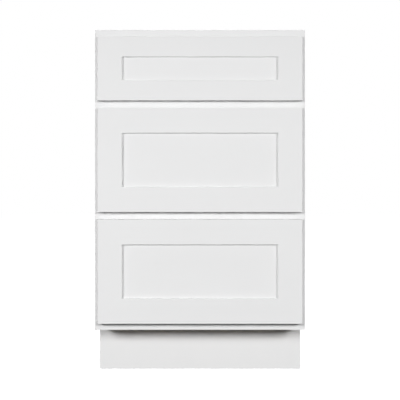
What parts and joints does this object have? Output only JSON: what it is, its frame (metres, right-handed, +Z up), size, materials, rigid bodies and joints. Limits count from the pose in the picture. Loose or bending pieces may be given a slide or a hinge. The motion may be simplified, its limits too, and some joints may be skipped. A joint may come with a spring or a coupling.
{
  "type": "vanity drawer base cabinet",
  "caption": "White framed vanity base with stacked shaker drawers on full-extension undermount slides, a recessed toe kick and an open top for a countertop.",
  "frame": {"origin": "on the floor, at the middle of the bounding box's footprint", "axes": "+Z up, the drawer fronts face -Y and the drawers open along -Y, +X to the right as seen from the front"},
  "size_m": [0.5334, 0.5544, 0.8763],
  "materials": {
    "white_paint": "satin white paint on wood",
    "plywood": "clear-coated birch plywood",
    "maple": "clear-coated solid maple",
    "zinc_steel": "zinc-plated rolled steel",
    "clip_plastic": "moulded grey plastic",
    "lever_plastic": "moulded light grey plastic"
  },
  "bodies": {
    "cabinet": {"left_side": "white_paint", "right_side": "white_paint", "bottom_panel": "plywood", "back_panel": "plywood", "hanging_rail": "plywood", "toe_kick_board": "white_paint", "frame_left_stile": "white_paint", "frame_right_stile": "white_paint", "frame_top_rail": "white_paint", "frame_upper_rail": "white_paint", "frame_lower_rail": "white_paint", "frame_bottom_rail": "white_paint", "corner_braces": "plywood", "slide_channels": "zinc_steel", "slide_brackets": "zinc_steel"},
    "top_drawer": {"top_front_left_stile": "white_paint", "top_front_right_stile": "white_paint", "top_front_upper_rail": "white_paint", "top_front_lower_rail": "white_paint", "top_front_panel": "white_paint", "top_drawer_left_side": "maple", "top_drawer_right_side": "maple", "top_drawer_subfront": "maple", "top_drawer_back": "maple", "top_drawer_bottom": "plywood", "top_slide_runners": "zinc_steel", "top_locking_clips": "clip_plastic"},
    "top_beams": {"top_slide_beams": "zinc_steel"},
    "top_left_lever": {"top_left_lever": "lever_plastic"},
    "top_right_lever": {"top_right_lever": "lever_plastic"},
    "middle_drawer": {"middle_front_left_stile": "white_paint", "middle_front_right_stile": "white_paint", "middle_front_upper_rail": "white_paint", "middle_front_lower_rail": "white_paint", "middle_front_panel": "white_paint", "middle_drawer_left_side": "maple", "middle_drawer_right_side": "maple", "middle_drawer_subfront": "maple", "middle_drawer_back": "maple", "middle_drawer_bottom": "plywood", "middle_slide_runners": "zinc_steel", "middle_locking_clips": "clip_plastic"},
    "middle_beams": {"middle_slide_beams": "zinc_steel"},
    "middle_left_lever": {"middle_left_lever": "lever_plastic"},
    "middle_right_lever": {"middle_right_lever": "lever_plastic"},
    "bottom_drawer": {"bottom_front_left_stile": "white_paint", "bottom_front_right_stile": "white_paint", "bottom_front_upper_rail": "white_paint", "bottom_front_lower_rail": "white_paint", "bottom_front_panel": "white_paint", "bottom_drawer_left_side": "maple", "bottom_drawer_right_side": "maple", "bottom_drawer_subfront": "maple", "bottom_drawer_back": "maple", "bottom_drawer_bottom": "plywood", "bottom_slide_runners": "zinc_steel", "bottom_locking_clips": "clip_plastic"},
    "bottom_beams": {"bottom_slide_beams": "zinc_steel"},
    "bottom_left_lever": {"bottom_left_lever": "lever_plastic"},
    "bottom_right_lever": {"bottom_right_lever": "lever_plastic"}
  },
  "joints": [
    {"name": "top_drawer_slide", "type": "slide", "parent": "cabinet", "child": "top_drawer", "axis": [0, -1, 0], "range_m": [0, 0.4445]},
    {"name": "top_beam_slide", "type": "slide", "parent": "cabinet", "child": "top_beams", "axis": [0, -1, 0], "range_m": [0, 0.22225]},
    {"name": "top_left_lever_hinge", "type": "hinge", "parent": "top_drawer", "child": "top_left_lever", "pos_m": [-0.1723, -0.21118, 0.72515], "axis": [0, 0, -1], "range_deg": [0, 12], "stiffness_Nm_per_rad": 0.03},
    {"name": "top_right_lever_hinge", "type": "hinge", "parent": "top_drawer", "child": "top_right_lever", "pos_m": [0.1723, -0.21118, 0.72515], "axis": [0, 0, 1], "range_deg": [0, 12], "stiffness_Nm_per_rad": 0.03},
    {"name": "middle_drawer_slide", "type": "slide", "parent": "cabinet", "child": "middle_drawer", "axis": [0, -1, 0], "range_m": [0, 0.4445]},
    {"name": "middle_beam_slide", "type": "slide", "parent": "cabinet", "child": "middle_beams", "axis": [0, -1, 0], "range_m": [0, 0.22225]},
    {"name": "middle_left_lever_hinge", "type": "hinge", "parent": "middle_drawer", "child": "middle_left_lever", "pos_m": [-0.1723, -0.21118, 0.4434], "axis": [0, 0, -1], "range_deg": [0, 12], "stiffness_Nm_per_rad": 0.03},
    {"name": "middle_right_lever_hinge", "type": "hinge", "parent": "middle_drawer", "child": "middle_right_lever", "pos_m": [0.1723, -0.21118, 0.4434], "axis": [0, 0, 1], "range_deg": [0, 12], "stiffness_Nm_per_rad": 0.03},
    {"name": "bottom_drawer_slide", "type": "slide", "parent": "cabinet", "child": "bottom_drawer", "axis": [0, -1, 0], "range_m": [0, 0.4445]},
    {"name": "bottom_beam_slide", "type": "slide", "parent": "cabinet", "child": "bottom_beams", "axis": [0, -1, 0], "range_m": [0, 0.22225]},
    {"name": "bottom_left_lever_hinge", "type": "hinge", "parent": "bottom_drawer", "child": "bottom_left_lever", "pos_m": [-0.1723, -0.21118, 0.17155], "axis": [0, 0, -1], "range_deg": [0, 12], "stiffness_Nm_per_rad": 0.03},
    {"name": "bottom_right_lever_hinge", "type": "hinge", "parent": "bottom_drawer", "child": "bottom_right_lever", "pos_m": [0.1723, -0.21118, 0.17155], "axis": [0, 0, 1], "range_deg": [0, 12], "stiffness_Nm_per_rad": 0.03}
  ],
  "couplings": [
    {"joint": "top_beam_slide", "follows": "top_drawer_slide", "ratio": 0.5},
    {"joint": "middle_beam_slide", "follows": "middle_drawer_slide", "ratio": 0.5},
    {"joint": "bottom_beam_slide", "follows": "bottom_drawer_slide", "ratio": 0.5}
  ]
}
